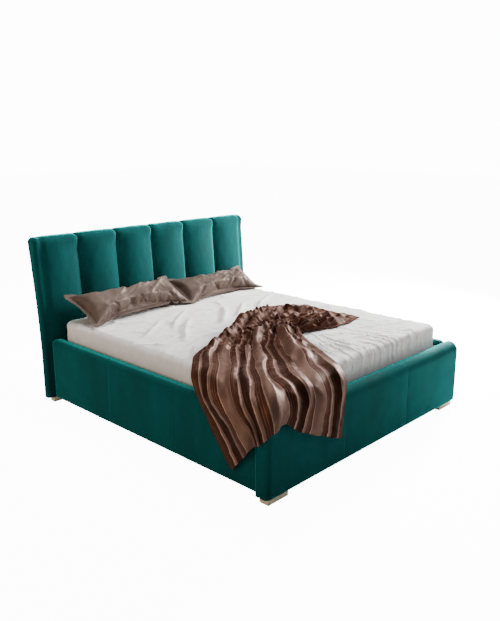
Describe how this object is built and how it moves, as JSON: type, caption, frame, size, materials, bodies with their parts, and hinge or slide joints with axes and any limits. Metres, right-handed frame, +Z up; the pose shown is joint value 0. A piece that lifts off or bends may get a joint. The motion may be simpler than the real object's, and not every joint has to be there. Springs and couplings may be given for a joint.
{
  "type": "upholstered headboard bed",
  "caption": "Velvet storage bed with a channelled reclining headboard, padded rails, lifting slatted base, mattress, pillows and a striped throw.",
  "frame": {"origin": "on the floor, in the middle of the bed's outline", "axes": "+Y towards the headboard, +Z up, +X towards the right side seen from the foot end"},
  "size_m": [2.03, 2.2966, 1.215],
  "materials": {
    "velvet": "matte",
    "lining": "matte",
    "holder_plastic": "satin",
    "pine": "matte",
    "beech": "satin",
    "birch_slats": "satin",
    "floor_board": "matte",
    "rod_steel": "polished",
    "black_steel": "satin",
    "bed_sheet": "matte",
    "satin": "satin",
    "striped_throw": "satin"
  },
  "bodies": {
    "base": {"headboard_board": "pine", "headboard_back_lining": "lining", "headboard_channel_1": "velvet", "headboard_channel_2": "velvet", "headboard_channel_3": "velvet", "headboard_channel_4": "velvet", "headboard_channel_5": "velvet", "headboard_channel_6": "velvet", "side_rail_board_left": "pine", "side_rail_board_right": "pine", "side_rail_pad_left": "velvet", "side_rail_pad_right": "velvet", "footboard_board": "pine", "footboard_pad": "velvet", "foot_front_left": "beech", "foot_front_right": "beech", "foot_back_left": "beech", "foot_back_right": "beech", "corner_bracket_front_left": "black_steel", "corner_bracket_front_right": "black_steel", "corner_bracket_back_left": "black_steel", "corner_bracket_back_right": "black_steel", "centre_beam": "pine", "centre_leg_front": "beech", "centre_leg_rear": "beech", "floor_batten_left": "pine", "floor_batten_right": "pine", "floor_panel_left": "floor_board", "floor_panel_right": "floor_board", "lift_base_plate_left": "black_steel", "lift_base_plate_right": "black_steel"},
    "arm_left": {"lift_arm_left": "black_steel"},
    "arm_right": {"lift_arm_right": "black_steel"},
    "platform": {"lift_frame": "black_steel", "lift_frame_bracket_left": "black_steel", "lift_frame_bracket_right": "black_steel", "slat_holder_left": "holder_plastic", "slat_holder_right": "holder_plastic", "slat_01": "birch_slats", "slat_02": "birch_slats", "slat_03": "birch_slats", "slat_04": "birch_slats", "slat_05": "birch_slats", "slat_06": "birch_slats", "slat_07": "birch_slats", "slat_08": "birch_slats", "slat_09": "birch_slats", "slat_10": "birch_slats", "slat_11": "birch_slats", "slat_12": "birch_slats", "mattress": "bed_sheet", "pillow_left": "satin", "pillow_right": "satin", "throw": "striped_throw"},
    "link_left": {"guide_link_left": "black_steel"},
    "link_right": {"guide_link_right": "black_steel"},
    "cylinder_left": {"gas_cylinder_left": "black_steel"},
    "cylinder_right": {"gas_cylinder_right": "black_steel"},
    "rod_left": {"gas_rod_left": "rod_steel"},
    "rod_right": {"gas_rod_right": "rod_steel"}
  },
  "joints": [
    {"name": "lift_arm_left", "type": "hinge", "parent": "base", "child": "arm_left", "pos_m": [-0.897, 0.02834, 0.2974], "axis": [1, 0, 0], "range_deg": [0, 67]},
    {"name": "platform_tilt", "type": "hinge", "parent": "arm_left", "child": "platform", "pos_m": [-0.89, 0.29574, 0.335], "axis": [-1, 0, 0], "range_deg": [0, 103.02]},
    {"name": "lift_arm_right", "type": "hinge", "parent": "base", "child": "arm_right", "pos_m": [0.897, 0.02834, 0.2974], "axis": [1, 0, 0], "range_deg": [0, 67]},
    {"name": "guide_link_left", "type": "hinge", "parent": "base", "child": "link_left", "pos_m": [-0.891, -0.33426, 0.15], "axis": [1, 0, 0], "range_deg": [0, 45.94]},
    {"name": "guide_link_right", "type": "hinge", "parent": "base", "child": "link_right", "pos_m": [0.891, -0.33426, 0.15], "axis": [1, 0, 0], "range_deg": [0, 45.94]},
    {"name": "gas_strut_left", "type": "hinge", "parent": "base", "child": "cylinder_left", "pos_m": [-0.87, 0.16944, 0.12], "axis": [1, 0, 0], "range_deg": [0, 55.49]},
    {"name": "gas_strut_right", "type": "hinge", "parent": "base", "child": "cylinder_right", "pos_m": [0.87, 0.16944, 0.12], "axis": [1, 0, 0], "range_deg": [0, 55.49]},
    {"name": "gas_rod_left", "type": "slide", "parent": "cylinder_left", "child": "rod_left", "axis": [0, 0.7462, 0.6658], "range_m": [0, 0.1121]},
    {"name": "gas_rod_right", "type": "slide", "parent": "cylinder_right", "child": "rod_right", "axis": [0, 0.7462, 0.6658], "range_m": [0, 0.1121]}
  ],
  "couplings": [
    {"joint": "platform_tilt", "follows": "lift_arm_left", "ratio": 1.5373},
    {"joint": "lift_arm_right", "follows": "lift_arm_left", "ratio": 1},
    {"joint": "guide_link_left", "follows": "lift_arm_left", "ratio": 0.68525},
    {"joint": "gas_strut_left", "follows": "lift_arm_left", "ratio": 0.82781},
    {"joint": "gas_rod_left", "follows": "lift_arm_left", "m_per_rad": 0.095696},
    {"joint": "guide_link_right", "follows": "lift_arm_left", "ratio": 0.68525},
    {"joint": "gas_strut_right", "follows": "lift_arm_left", "ratio": 0.82781},
    {"joint": "gas_rod_right", "follows": "lift_arm_left", "m_per_rad": 0.095696}
  ]
}
